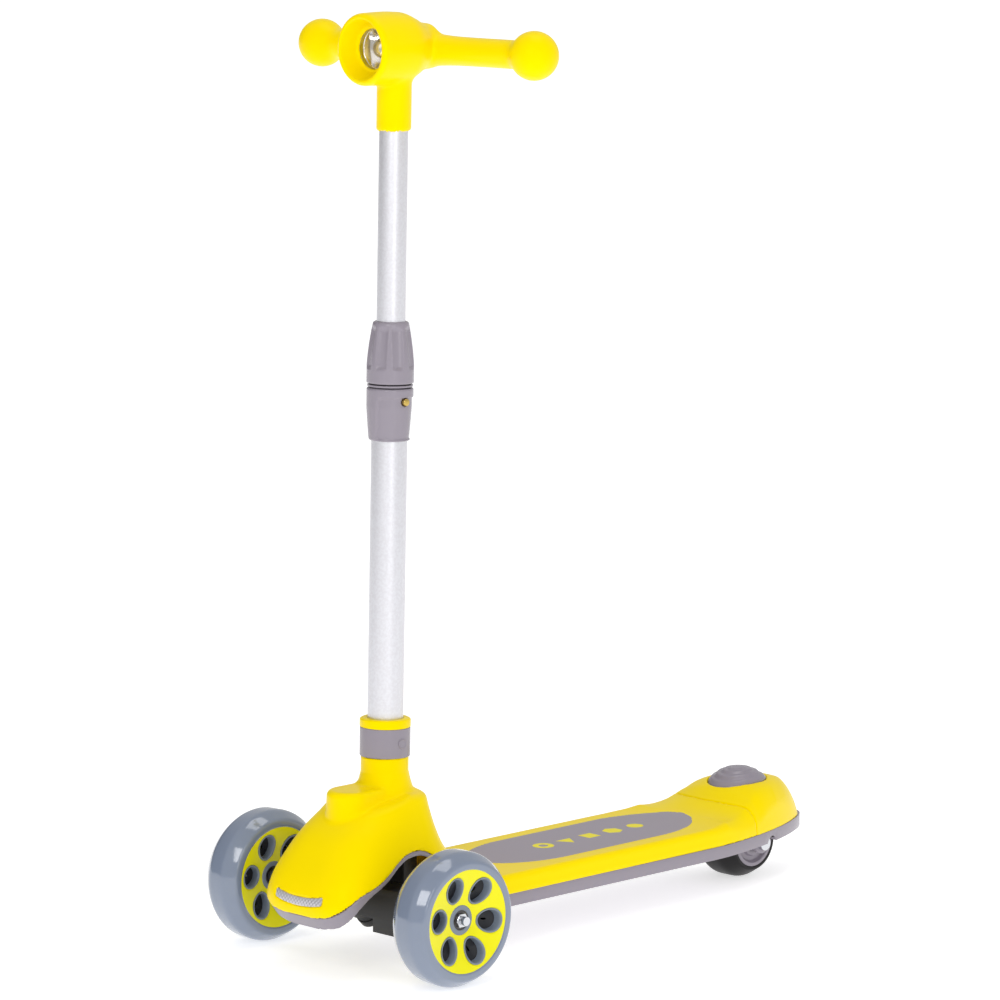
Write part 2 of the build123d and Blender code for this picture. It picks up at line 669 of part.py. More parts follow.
def rear_cap():
    cap = along_y(post(19.5, BAR_Y + 0.3, -150) - post(19.5 - 2, BAR_Y + 0.1, -152.5), 0, BARREL_Z - 1)
    return cap - along_y(post(7 + GAP, -170, -140), 0, BARREL_Z - 1)


def light_switch():
    knob = post(7, -156.5, -148) + post(9, -157.5, -155)
    return along_y(knob, 0, BARREL_Z - 1)


def upper_tube():
    return COLUMN * post(UPPER_TUBE_R, 330, TUBE_TOP, inner=UPPER_TUBE_R - TUBE_WALL)


# --- write every piece ---
def write_deck():
    skin = yellow_skin()
    sockets, holes = screw_sockets()
    shell = deck_top_shell(skin) + sockets
    save("deck_top_shell", shell - holes)
    save("tail_cover", tail_cover(skin))
    save("deck_base", deck_base())
    save("deck_pad", deck_pad())
    save("pad_marks", *pad_marks())
    save("deck_screws", *deck_screws())


def write_nose():
    save("nose_cover", nose_cover())
    save("nose_trim", nose_trim())
    save("front_reflector", reflector_form(0.1))
    save("steering_block", steering_block())
    save("block_bolts", *block_bolts())
    save("kingpin", kingpin())
    save("kingpin_nut", kingpin_nut())
    save("steering_bushes", *steering_bushes())
    save("neck_ring", neck_ring())
    save("neck_cap", neck_cap())
    save("release_button", release_button())


def write_truck():
    save("axle_beam", axle_beam())
    save("kingpin_sleeve", kingpin_sleeve())
    save("stub_axles", *both_sides(stub_axle()))
    save("axle_nuts", *both_sides(axle_nut()))
    save("inner_spacers", *both_sides(inner_spacer()))
    front_wheel(1, "left")
    front_wheel(-1, "right")


def write_rear():
    save("rear_tyre", at_rear(tyre(REAR_WHEEL_R, REAR_WHEEL_HALF, REAR_BORE, 10)))
    save("rear_hub", at_rear(rear_hub()))
    save("rear_bearings", *[at_rear(ring) for ring in bearings(REAR_WHEEL_HALF - 0.6)])
    save("rear_bolt", rear_bolt())
    save("rear_nut", rear_nut())
    save("rear_spacers", *rear_spacers())
    save("brake_pedal", brake_pedal())
    save("brake_shoe", brake_shoe())
    save("brake_springs", *brake_springs())


def write_column():
    save("lower_tube", lower_tube())
    save("collar_body", collar_body())
    save("collar_ring", collar_ring())
    save("tube_bush", tube_bush())
    save("twist_nut", twist_nut())
    save("snap_button", snap_button())
    save("upper_tube", upper_tube())
    front, back = bar_shells()
    save("bar_front_shell", front)
    save("bar_back_shell", back)
    save("bar_screws", *bar_screws())
    save("lamp_lens", lamp_lens())
    save("lamp_reflector", lamp_reflector())
    save("lamp_led", lamp_led())
    save("lamp_board", lamp_board())
    save("lamp_cells", *lamp_cells())
    save("rear_cap", rear_cap())
    save("light_switch", light_switch())


os.makedirs("parts", exist_ok=True)
write_deck()
write_nose()
write_truck()
write_rear()
write_column()
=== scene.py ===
"""The finished look of a children's kick scooter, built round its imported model.

Shapes are worked out in millimetres and turned into metres as each mesh is made.
+Z is up, -Y forward and +X the rider's left; the origin is on the floor under the middle.
"""
import math

import bmesh
import bpy
import numpy as np
from mathutils import Matrix, Vector


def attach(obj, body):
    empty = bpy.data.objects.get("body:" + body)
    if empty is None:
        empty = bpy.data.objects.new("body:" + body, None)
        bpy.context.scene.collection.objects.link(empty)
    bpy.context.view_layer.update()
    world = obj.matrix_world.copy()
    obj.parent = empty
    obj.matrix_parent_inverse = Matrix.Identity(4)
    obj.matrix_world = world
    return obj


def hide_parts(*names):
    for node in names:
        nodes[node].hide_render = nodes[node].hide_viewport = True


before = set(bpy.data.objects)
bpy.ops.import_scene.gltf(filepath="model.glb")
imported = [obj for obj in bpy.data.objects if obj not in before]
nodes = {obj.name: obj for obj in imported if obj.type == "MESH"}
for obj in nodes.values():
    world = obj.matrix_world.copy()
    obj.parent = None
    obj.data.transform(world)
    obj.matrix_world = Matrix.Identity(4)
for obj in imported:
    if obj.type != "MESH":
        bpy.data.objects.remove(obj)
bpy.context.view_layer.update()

MM = 0.001

# --- sizes, in millimetres ---
FRONT_AXLE = Vector((0, -250, 60))
WHEEL_X = 122.0
REAR_AXLE = Vector((0, 238, 36))
TYRE_R, TYRE_HALF, FACE_R = 60.0, 20.0, 45.7
FACE_RIM, FACE_HUB, HUB_R = 19.2, 10.5, 13.3
HOLES, HOLE_RING, HOLE_LONG, HOLE_WIDE, HOLE_TURN = 6, 30.0, 12.6, 10.8, 22.0
REAR_R, REAR_HALF, REAR_BORE = 36.0, 26.0, 24.0
COLUMN_Y, COLUMN_RAKE = -220.6, 1.65
LOWER_TUBE_R, LOWER_BORE, LOWER_BOTTOM, LOWER_TOP = 15.9, 14.4, 94.5, 511.0
UPPER_TUBE_R, UPPER_BORE, UPPER_BOTTOM, UPPER_TOP = 12.7, 11.2, 330.0, 775.0
RELEASE_Z = 195.0
AXLE_HOLE, RACE_R = 4.1, 8.9
DOME_R = 38.0
NECK_R, RING_BOTTOM, RING_TOP, CAP_TOP = 21.2, 182.0, 208.0, 216.0
COLLAR_BOTTOM = 463.0
NUT_BOTTOM, NUT_SHOULDER, NUT_TOP = 513.5, 527.5, 568.0
CATCH_Z = 498.0
SLEEVE_R, SLEEVE_BOTTOM = 15.3, 734.0
BAR_Y, BAR_Z, BALL_X, BALL_R = -160.1, 803.2, 134.7, 21.4
BARREL_Z, BARREL_FRONT, BARREL_BACK = 806.2, -239.0, -158.0
MOUTH_DEEP, WELL_R, WELL_DEEP, BACK_SEAT_R = 15.0, 17.6, 46.0, 17.4
SEAM_Z, DECK_HALF, DECK_FRONT, TAIL_START, TAIL_TIP = 50.5, 64.0, -180.0, 145.0, 322.0
PEDAL_Y, PEDAL_TOP, PEDAL_X, PEDAL_LONG = 241.0, 105.0, 26.5, 29.5
PAD_MIDDLE, PAD_STRAIGHT, PAD_HALF, PAD_END = 30.0, 60.0, 45.5, 76.0
WALL, DECK_WALL = 2.6, 4.5

LEAN = Matrix.Translation((0, COLUMN_Y, 0)) @ Matrix.Rotation(math.radians(-COLUMN_RAKE), 4, "X")
ACROSS = Matrix.Rotation(math.radians(90), 4, "Y")
FORWARD = Matrix.Rotation(math.radians(90), 4, "X")
UPRIGHT = Matrix.Identity(4)


# --- making meshes ---
def settle(obj):
    """Turns an object's modifiers into plain mesh."""
    mesh = bpy.data.meshes.new_from_object(obj.evaluated_get(bpy.context.evaluated_depsgraph_get()))
    obj.modifiers.clear()
    obj.data = mesh
    return obj


def tidy_mesh(mesh, crease, turn_out=True):
    """Welds the points, turns the faces outwards, and keeps only the edges sharper than crease."""
    bm = bmesh.new()
    bm.from_mesh(mesh)
    bmesh.ops.remove_doubles(bm, verts=bm.verts, dist=1e-6)
    bmesh.ops.dissolve_degenerate(bm, edges=bm.edges, dist=1e-7)
    if turn_out:
        bmesh.ops.recalc_face_normals(bm, faces=bm.faces)
    for edge in bm.edges:
        edge.smooth = edge.calc_face_angle(0) < math.radians(crease)
    for face in bm.faces:
        face.smooth = True
    bm.to_mesh(mesh)
    bm.free()


def solid(name, points, faces, place=UPRIGHT, crease=35, turn_out=True):
    """A mesh object from points in millimetres."""
    mesh = bpy.data.meshes.new(name)
    mesh.from_pydata([tuple(p) for p in np.asarray(points, float)], [], faces)
    mesh.transform(Matrix.Scale(MM, 4) @ place)
    tidy_mesh(mesh, crease, turn_out)
    obj = bpy.data.objects.new(name, mesh)
    bpy.context.scene.collection.objects.link(obj)
    return obj


def fit(obj, finish, slot, body, *stands_for):
    """Gives a piece its finish and fixes it to its body."""
    if finish:
        obj.data.materials.clear()
        obj.data.materials.append(finish)
    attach(obj, body)
    if stands_for:
        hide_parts(*stands_for)
    return obj


def grid_faces(rows, columns, wrap_rows=False, wrap_columns=True):
    last_row = rows if wrap_rows else rows - 1
    last_column = columns if wrap_columns else columns - 1
    return [(i * columns + j, i * columns + (j + 1) % columns,
             (i + 1) % rows * columns + (j + 1) % columns, (i + 1) % rows * columns + j)
            for i in range(last_row) for j in range(last_column)]


def rounded(corners, closed=True, steps=5):
    """An outline whose corners, given as (across, along, radius), are turned into arcs."""
    line = []
    for i, (a, b, radius) in enumerate(corners):
        here = Vector((a, b))
        if not radius or (not closed and i in (0, len(corners) - 1)):
            line.append((a, b))
            continue
        back = Vector(corners[i - 1][:2]) - here
        ahead = Vector(corners[(i + 1) % len(corners)][:2]) - here
        half = back.angle(ahead) / 2
        reach = min(radius / math.tan(half), back.length * 0.49, ahead.length * 0.49)
        centre = here + (back.normalized() + ahead.normalized()).normalized() * reach / math.cos(half)
        start = here + back.normalized() * reach - centre
        end = here + ahead.normalized() * reach - centre
        sweep = math.atan2(start.x * end.y - start.y * end.x, start.dot(end))
        for k in range(steps + 1):
            turn = sweep * k / steps
            line.append((centre.x + start.x * math.cos(turn) - start.y * math.sin(turn),
                         centre.y + start.x * math.sin(turn) + start.y * math.cos(turn)))
    return line


def lathe(name, corners, place=UPRIGHT, steps=96, closed=True, crease=35, arc_steps=5):
    """Turns an outline of (radius, height, corner radius) round the local Z axis."""
    radius, height = np.array(rounded(corners, closed, arc_steps)).T
    turn = np.linspace(0, 2 * math.pi, steps, endpoint=False)
    points = np.stack([np.outer(radius, np.cos(turn)), np.outer(radius, np.sin(turn)),
                       np.outer(height, np.ones(steps))], -1).reshape(-1, 3)
    return solid(name, points, grid_faces(len(radius), steps, closed), place, crease)


def joined(name, *parts):
    """Several mesh objects made one."""
    bm = bmesh.new()
    for part in parts:
        bm.from_mesh(part.data)
    mesh = bpy.data.meshes.new(name)
    bm.to_mesh(mesh)
    bm.free()
    for part in parts:
        bpy.data.objects.remove(part)
    obj = bpy.data.objects.new(name, mesh)
    bpy.context.scene.collection.objects.link(obj)
    return obj


def softened(node, finish, slot, body, width=0.8, crease=35):
    """A copy of a CAD piece with its edges rounded a little."""
    mesh = nodes[node].data.copy()
    bm = bmesh.new()
    bm.from_mesh(mesh)
    bmesh.ops.remove_doubles(bm, verts=bm.verts, dist=2e-6)
    bmesh.ops.dissolve_limit(bm, angle_limit=math.radians(0.6), verts=bm.verts, edges=bm.edges)
    bm.to_mesh(mesh)
    bm.free()
    obj = bpy.data.objects.new(node + "_finished", mesh)
    bpy.context.scene.collection.objects.link(obj)
    bevel = obj.modifiers.new("Rounded edges", "BEVEL")
    bevel.width = width * MM
    bevel.segments = 2
    bevel.limit_method = "ANGLE"
    bevel.angle_limit = math.radians(crease)
    bevel.harden_normals = False
    settle(obj)
    tidy_mesh(obj.data, crease, turn_out=False)
    return fit(obj, finish, slot, body, node)


# --- moulded shapes, each a function that is below zero inside ---
def soft_join(a, b, reach):
    """Two shapes made one, with a cove of about that reach where they meet."""
    mix = np.clip(0.5 + 0.5 * (b - a) / reach, 0, 1)
    return b + (a - b) * mix - reach * mix * (1 - mix)


def soft_meet(a, b, radius):
    """What two shapes share, with its edges rounded."""
    corner = np.hypot(np.maximum(a + radius, 0), np.maximum(b + radius, 0))
    return np.minimum(np.maximum(a, b), -radius) + corner


def eased(at, knots, values):
    """A smooth curve through the values, flat beyond both ends."""
    knots, values = np.array(knots, float), np.array(values, float)
    slope = np.gradient(values, knots)
    at = np.clip(at, knots[0], knots[-1])
    i = np.clip(np.searchsorted(knots, at, side="right") - 1, 0, len(knots) - 2)
    span = knots[i + 1] - knots[i]
    t = (at - knots[i]) / span
    return (values[i] * (2 * t ** 3 - 3 * t ** 2 + 1) + slope[i] * span * (t ** 3 - 2 * t ** 2 + t)
            + values[i + 1] * (3 * t ** 2 - 2 * t ** 3) + slope[i + 1] * span * (t ** 3 - t ** 2))


def slide(values, axis, start, count):
    index = [slice(None)] * 3
    index[axis] = slice(start, start + count)
    return values[tuple(index)]


def skin(name, form, low, high, cell, crease=50):
    """The closed surface of a moulded shape: one point for each cell that the surface crosses."""
    axes = [np.arange(a, b + cell, cell) for a, b in zip(low, high)]
    grid = np.stack(np.meshgrid(*axes, indexing="ij"), -1)
    value = form(grid[..., 0], grid[..., 1], grid[..., 2])
    size = [len(a) - 1 for a in axes]
    total, hits = np.zeros(size + [3]), np.zeros(size)
    offsets = [(i, j, k) for i in (0, 1) for j in (0, 1) for k in (0, 1)]

    def corner(values, offset):
        for axis in range(3):
            values = slide(values, axis, offset[axis], size[axis])
        return values

    for first in offsets:
        for axis in range(3):
            if first[axis]:
                continue
            second = tuple(o + (n == axis) for n, o in enumerate(first))
            a, b = corner(value, first), corner(value, second)
            crossed = (a < 0) != (b < 0)
            share = np.where(crossed, a / np.where(a == b, 1, a - b), 0)[..., None]
            point = corner(grid, first) * (1 - share) + corner(grid, second) * share
            total += np.where(crossed[..., None], point, 0)
            hits += crossed
    cells = hits > 0
    number = np.full(size, -1)
    number[cells] = np.arange(cells.sum())
    points = total[cells] / hits[cells][:, None]
    faces = []
    inside = value < 0
    for axis in range(3):
        here = slide(inside, axis, 0, size[axis])
        there = slide(inside, axis, 1, size[axis])
        found = np.argwhere(here != there)
        u, v = np.eye(3, dtype=int)[(axis + 1) % 3], np.eye(3, dtype=int)[(axis + 2) % 3]
        keep = (found[:, (axis + 1) % 3] > 0) & (found[:, (axis + 2) % 3] > 0)
        keep &= (found[:, (axis + 1) % 3] < size[(axis + 1) % 3])
        keep &= (found[:, (axis + 2) % 3] < size[(axis + 2) % 3])
        found = found[keep]
        ring = [number[tuple(c.T)] for c in (found, found - u, found - u - v, found - v)]
        outwards = inside[tuple(found.T)]
        quads = np.stack(ring, 1)
        quads[~outwards] = quads[~outwards][:, ::-1]
        faces += quads.tolist()
    step = cell * 0.02
    for _ in range(4):
        at = form(*points.T)
        slope = np.stack([(form(*(points + step * e).T) - form(*(points - step * e).T)) / (2 * step)
                          for e in np.eye(3)], 1)
        move = slope * (at / np.maximum((slope ** 2).sum(1), 0.05))[:, None]
        length = np.maximum(np.linalg.norm(move, axis=1), 1e-9)
        points -= move * np.minimum(1, 0.4 * cell / length)[:, None]
    return solid(name, points, faces, UPRIGHT, crease, turn_out=False)


# --- repeating pieces, made by geometry nodes ---
def node_tree(name, inputs):
    tree = bpy.data.node_groups.new(name, "GeometryNodeTree")
    sockets = {}
    for label, kind in inputs:
        sockets[label] = tree.interface.new_socket(label, in_out="INPUT", socket_type=kind).identifier
    tree.interface.new_socket("Result", in_out="OUTPUT", socket_type="NodeSocketGeometry")
    return tree, sockets


def ring_of_copies():
    """Copies of a piece turned evenly round the Z axis."""
    tree, sockets = node_tree("Ring of copies", [
        ("Piece", "NodeSocketGeometry"), ("Copies", "NodeSocketInt"), ("First turn", "NodeSocketFloat"),
        ("Finish", "NodeSocketMaterial")])
    make, link = tree.nodes.new, tree.links.new
    given, points, index = make("NodeGroupInput"), make("GeometryNodePoints"), make("GeometryNodeInputIndex")
    share, turn, spin = make("ShaderNodeMath"), make("ShaderNodeMath"), make("ShaderNodeCombineXYZ")
    copies, real = make("GeometryNodeInstanceOnPoints"), make("GeometryNodeRealizeInstances")
    paint, result = make("GeometryNodeSetMaterial"), make("NodeGroupOutput")
    share.operation = "DIVIDE"
    turn.operation = "MULTIPLY_ADD"
    turn.inputs[1].default_value = 2 * math.pi
    link(given.outputs["Copies"], points.inputs["Count"])
    link(index.outputs[0], share.inputs[0])
    link(given.outputs["Copies"], share.inputs[1])
    link(share.outputs[0], turn.inputs[0])
    link(given.outputs["First turn"], turn.inputs[2])
    link(turn.outputs[0], spin.inputs["Z"])
    link(points.outputs[0], copies.inputs["Points"])
    link(given.outputs["Piece"], copies.inputs["Instance"])
    link(spin.outputs[0], copies.inputs["Rotation"])
    link(copies.outputs[0], real.inputs[0])
    link(real.outputs[0], paint.inputs["Geometry"])
    link(given.outputs["Finish"], paint.inputs["Material"])
    link(paint.outputs[0], result.inputs[0])
    return tree, sockets


RING, RING_INPUTS = ring_of_copies()


def repeat_round(obj, copies, finish, place, first_turn=0.0, crease=35):
    """Repeats a piece, made about the local Z axis, and sets the ring in its place."""
    ring = obj.modifiers.new("Ring", "NODES")
    ring.node_group = RING
    ring[RING_INPUTS["Copies"]] = copies
    ring[RING_INPUTS["First turn"]] = math.radians(first_turn)
    ring[RING_INPUTS["Finish"]] = finish
    settle(obj)
    obj.data.transform(Matrix.Scale(MM, 4) @ place @ Matrix.Scale(1 / MM, 4))
    tidy_mesh(obj.data, crease)
    return obj


# --- finishes ---
def colour(red, green, blue):
    """A colour on the usual 0 to 255 scale, made linear."""
    def linear(c):
        c /= 255
        return c / 12.92 if c <= 0.04045 else ((c + 0.055) / 1.055) ** 2.4
    return (linear(red), linear(green), linear(blue), 1)


def finish(name, base, roughness, metallic=0.0, coat=0.0, **more):
    made = bpy.data.materials.new(name)
    made.use_nodes = True
    shader = made.node_tree.nodes["Principled BSDF"]
    shader.inputs["Base Color"].default_value = base
    shader.inputs["Roughness"].default_value = roughness
    shader.inputs["Metallic"].default_value = metallic
    shader.inputs["Coat Weight"].default_value = coat
    shader.inputs["Coat Roughness"].default_value = 0.08
    for socket, value in more.items():
        shader.inputs[socket.replace("_", " ")].default_value = value
    return made


def grain(made, scale, depth, detail=3.0, stretch=(1, 1, 1)):
    """A fine moulded or blasted texture, in the surface's bump only."""
    tree = made.node_tree
    shader = tree.nodes["Principled BSDF"]
    place = tree.nodes.new("ShaderNodeTexCoord")
    mapping = tree.nodes.new("ShaderNodeMapping")
    noise = tree.nodes.new("ShaderNodeTexNoise")
    bump = tree.nodes.new("ShaderNodeBump")
    mapping.inputs["Scale"].default_value = stretch
    noise.inputs["Scale"].default_value = scale
    noise.inputs["Detail"].default_value = detail
    bump.inputs["Strength"].default_value = 1.0
    bump.inputs["Distance"].default_value = depth * MM
    tree.links.new(place.outputs["Object"], mapping.inputs["Vector"])
    tree.links.new(mapping.outputs["Vector"], noise.inputs["Vector"])
    tree.links.new(noise.outputs["Fac"], bump.inputs["Height"])
    tree.links.new(bump.outputs["Normal"], shader.inputs["Normal"])
    return made


def speckle(made, first, second, scale, low=0.4, high=0.6, detail=2.0):
    """Two close colours in a fine random mix."""
    tree = made.node_tree
    place = tree.nodes.new("ShaderNodeTexCoord")
    noise = tree.nodes.new("ShaderNodeTexNoise")
    ramp = tree.nodes.new("ShaderNodeValToRGB")
    noise.inputs["Scale"].default_value = scale
    noise.inputs["Detail"].default_value = detail
    ramp.color_ramp.elements[0].position = low
    ramp.color_ramp.elements[0].color = first
    ramp.color_ramp.elements[1].position = high
    ramp.color_ramp.elements[1].color = second
    tree.links.new(place.outputs["Object"], noise.inputs["Vector"])
    tree.links.new(noise.outputs["Fac"], ramp.inputs["Fac"])
    tree.links.new(ramp.outputs["Color"], tree.nodes["Principled BSDF"].inputs["Base Color"])
    return made


YELLOW = grain(finish("yellow moulded plastic", colour(255, 226, 0), 0.32,
                      Specular_IOR_Level=0.16, Specular_Tint=(1.0, 0.75, 0.02, 1)), 900, 0.003)
LIME = finish("lime moulded plastic", colour(238, 232, 0), 0.32, Specular_IOR_Level=0.3)
GREY = grain(finish("grey moulded plastic", colour(146, 139, 150), 0.27, Specular_IOR_Level=0.5), 1400,
             0.006)
HUB_GREY = finish("blue-grey moulded plastic", colour(122, 132, 146), 0.4)
# Painted shade: near-black for the floor sunk in each wheel hole, where the inside of the wheel lies in
# shade.
HOLE_SHADE_PAINT = finish("shadowed plastic", colour(30, 32, 38), 0.6)
PAD = grain(finish("grained pad rubber", colour(165, 158, 167), 0.7, Specular_IOR_Level=0.3), 1500, 0.12,
            4.0)
PAD_YELLOW = finish("yellow inlay", colour(246, 232, 20), 0.5)
URETHANE = finish("cast urethane", colour(122, 133, 153), 0.12, coat=0.8)
BLACK_TYRE = finish("black urethane", colour(22, 20, 21), 0.42, Specular_IOR_Level=0.3)
BLACK = grain(finish("black moulded plastic", colour(28, 27, 29), 0.5), 1000, 0.02)
ALUMINIUM = grain(finish("blasted aluminium", colour(215, 215, 220), 0.44, metallic=0.9), 700, 0.003)
CHROME = finish("bright plated steel", colour(205, 207, 212), 0.14, metallic=1.0)
DULL_STEEL = finish("zinc plated steel", colour(150, 152, 158), 0.3, metallic=1.0)
# Painted shade: plated steel darkened for the front ball races, which sit sunk in the shaded hub.
PAINTED_SHADE_STEEL = finish("shadowed steel", colour(88, 86, 85), 0.3, metallic=1.0)
BRASS = finish("brass", colour(200, 172, 95), 0.25, metallic=1.0)
NYLON = finish("natural nylon", colour(215, 213, 205), 0.5)
BUSH = finish("black bush rubber", colour(40, 40, 42), 0.7)
MIRROR = finish("lamp mirror", colour(232, 228, 222), 0.12, metallic=1.0)
CLEAR = finish("clear lens", (1, 1, 1, 1), 0.03, Transmission_Weight=1.0, IOR=1.45)
LED = finish("lamp bulb", colour(250, 245, 225), 0.1, coat=1.0)
BOARD = finish("green board", colour(40, 110, 60), 0.5)
SILVER = finish("silver reflector", colour(208, 206, 212), 0.28, metallic=0.6)
# Painted shade: a near-black finish for the sleeve in the gap between collar and nut, standing in for the
# shade there.
PAINTED_GAP_SHADE = finish("painted gap shade", colour(40, 38, 42), 0.7)
speckle(ALUMINIUM, colour(219, 218, 223), colour(224, 224, 229), 420)


# --- front wheels ---
def face_height(radius):
    """The dished wheel face: low at the hub and rising to the rim, with an easy curve at both ends."""
    share = np.clip((radius - HUB_R) / (FACE_R - HUB_R), 0, 1)
    return FACE_HUB + (FACE_RIM - FACE_HUB) * (0.75 * share + 0.25 * (3 * share ** 2 - 2 * share ** 3))


def hole_edge(turn, inset=0.0):
    """A point on an egg-shaped hole, wider away from the hub, about its own centre."""
    across = (HOLE_WIDE - inset) * np.sin(turn) * (1 + 0.09 * np.cos(turn))
    return HOLE_RING + (HOLE_LONG - inset) * np.cos(turn), across


def sector_edge(turn):
    """Where a line from the hole's centre leaves its sixth of the wheel face."""
    low, high = 0.0, FACE_R + HOLE_RING
    for _ in range(40):
        middle = (low + high) / 2
        x, y = HOLE_RING + middle * math.cos(turn), middle * math.sin(turn)
        within = HUB_R < math.hypot(x, y) < FACE_R and abs(math.atan2(y, x)) < math.pi / HOLES
        low, high = (middle, high) if within else (low, middle)
    return HOLE_RING + low * math.cos(turn), low * math.sin(turn)


def sector_turns():
    """Directions round the hole that include the four corners of its sector."""
    half = math.pi / HOLES
    corners = [math.atan2(r * math.sin(half), r * math.cos(half) - HOLE_RING) for r in (FACE_R, HUB_R)]
    runs = [(0, corners[0], 8), (corners[0], corners[1], 12), (corners[1], math.pi, 6)]
    upper = [a + (b - a) * k / n for a, b, n in runs for k in range(n)]
    return upper + [math.pi] + [-t for t in upper[:0:-1]]


def face_sector(name, side):
    """One sixth of a wheel face, with its hole, from the hole's edge out."""
    turns = sector_turns()
    rings = 7
    points = []
    for ring in range(rings + 1):
        share = (ring / rings) ** 1.3
        for turn in turns:
            hx, hy = hole_edge(turn)
            sx, sy = sector_edge(turn)
            x, y = hx + (sx - hx) * share, hy + (sy - hy) * share
            points.append((x, y, side * (face_height(math.hypot(x, y)) - (0.7 if ring == 0 else 0))))
    return solid(name, points, grid_faces(rings + 1, len(turns)), crease=60)


def hole_cup(name, side, floor):
    """The grey lip and tapering wall of one hole, or the near-black floor inside it, which is painted shade.
    """
    turns = np.linspace(0, 2 * math.pi, 40, endpoint=False)
    lip = [(0.0, -0.8), (0.0, 0.35), (0.4, 0.6), (1.0, 0.6), (1.5, 0.2), (1.9, -2.0), (2.4, -7.0)]
    loops = [(2.4, -7.0), (2.7, -7.6), (9.8, -7.7)] if floor else lip
    points = []
    for inset, rise in loops:
        x, y = hole_edge(turns, inset)
        height = face_height(np.hypot(x, y)) + rise
        points += list(zip(x, y, side * height))
    return solid(name, points, grid_faces(len(loops), len(turns)), crease=60)


def wheel_place(side):
    return Matrix.Translation(FRONT_AXLE + Vector((side * WHEEL_X, 0, 0))) @ ACROSS


def wheel_tyre(name, side):
    """A broad urethane tread with full shoulders and a raised bead round the face."""
    corners = [(FACE_R, -15, 0), (FACE_R, -FACE_RIM - 0.3, 0.6), (FACE_R + 1.6, -TYRE_HALF, 0.9),
               (TYRE_R - 7.5, -TYRE_HALF, 7.0), (TYRE_R, -TYRE_HALF + 11.5, 12.0), (TYRE_R, 0, 0),
               (TYRE_R, TYRE_HALF - 11.5, 12.0), (TYRE_R - 7.5, TYRE_HALF, 7.0),
               (FACE_R + 1.6, TYRE_HALF, 0.9), (FACE_R, FACE_RIM + 0.3, 0.6), (FACE_R, 15, 0)]
    tyre = lathe(name, corners, wheel_place(side), 128, crease=50)
    return fit(tyre, URETHANE, "urethane", name[:-5], name)


def ball_race(name, back, front, shield, place):
    """The face of a ball bearing: two rings with a sunk shield between them."""
    return lathe(name, [
        (AXLE_HOLE, back, 0), (AXLE_HOLE, front, 0.3), (5.6, front, 0.3), (5.9, shield, 0.1),
        (7.9, shield, 0.1), (8.2, front, 0.3), (RACE_R, front, 0.2), (RACE_R, back, 0)], place)


def front_wheel(side, word):
    body = f"{word}_wheel"
    place = wheel_place(side)
    wheel_tyre(f"{body}_tyre", side).name = f"{body}_tread"
    sectors = [repeat_round(face_sector(f"sector{s}", s), HOLES, LIME, place, HOLE_TURN, 60)
               for s in (-1, 1)]
    fit(joined(f"{body}_dished_faces", *sectors), LIME, "lime_plastic", body, f"{body}_faces")
    cups = [repeat_round(hole_cup(f"cup{s}", s, False), HOLES, HUB_GREY, place, HOLE_TURN, 60)
            for s in (-1, 1)]
    hub = [lathe(f"hub{s}", [(RACE_R, s * (FACE_HUB - 2), 0), (RACE_R, s * (FACE_HUB + 0.4), 0.4),
                             (HUB_R, s * (FACE_HUB + 0.4), 0.8), (HUB_R, s * (FACE_HUB - 2), 0)], place)
           for s in (-1, 1)]
    fit(joined(f"{body}_hub_and_lips", *cups, *hub), HUB_GREY, "hub_plastic", body, f"{body}_core")
    # The floor in each hole is a near-black sheet of painted shade.
    shade_floors = [repeat_round(hole_cup(f"floor{s}", s, True), HOLES, HOLE_SHADE_PAINT, place, HOLE_TURN, 60)
              for s in (-1, 1)]
    fit(joined(f"{body}_hole_shade_floors", *shade_floors), HOLE_SHADE_PAINT, "hub_plastic", body)
    # The front races take steel darkened as painted shade; the rear races are chrome.
    races = [ball_race(f"race{s}", s * 3.6, s * FACE_HUB, s * (FACE_HUB - 0.4), place) for s in (-1, 1)]
    fit(joined(f"{body}_ball_races", *races), PAINTED_SHADE_STEEL, "steel", body, f"{body}_bearings")
    nodes[f"{body}_spacer"].data.materials.clear()
    nodes[f"{body}_spacer"].data.materials.append(DULL_STEEL)


def lock_nut(name, place, start, outwards, size=6.8, height=3.0):
    """A chamfered hexagon nut with a round collar and the end of the axle in it."""
    levels = [(size, 0.0), (size, height * 0.66), (size * 0.92, height * 0.76), (size * 0.62, height * 0.78),
              (size * 0.6, height * 0.95), (size * 0.56, height), (4.2, height), (4.05, height * 0.9),
              (3.6, height * 1.0), (3.2, height * 1.02), (0.02, height * 1.02)]
    turns = np.linspace(0, 2 * math.pi, 48, endpoint=False)
    points = []
    for row, (radius, rise) in enumerate(levels):
        for turn in turns:
            fold = (turn + math.pi / 6) % (math.pi / 3) - math.pi / 6
            flat = radius * math.cos(math.pi / 6) / math.cos(fold)
            reach = flat if row < 2 else min(flat * 1.05, radius)
            points.append((reach * math.cos(turn), reach * math.sin(turn), start + outwards * rise))
    return solid(name, points, grid_faces(len(levels), len(turns)), place, crease=30)


def axle_nuts():
    nuts = [lock_nut(f"nut{s}", Matrix.Translation(FRONT_AXLE) @ ACROSS, s * (WHEEL_X + FACE_HUB + 0.2), s)
            for s in (-1, 1)]
    fit(joined("axle_lock_nuts", *nuts), CHROME, "steel", "truck", "axle_nuts")


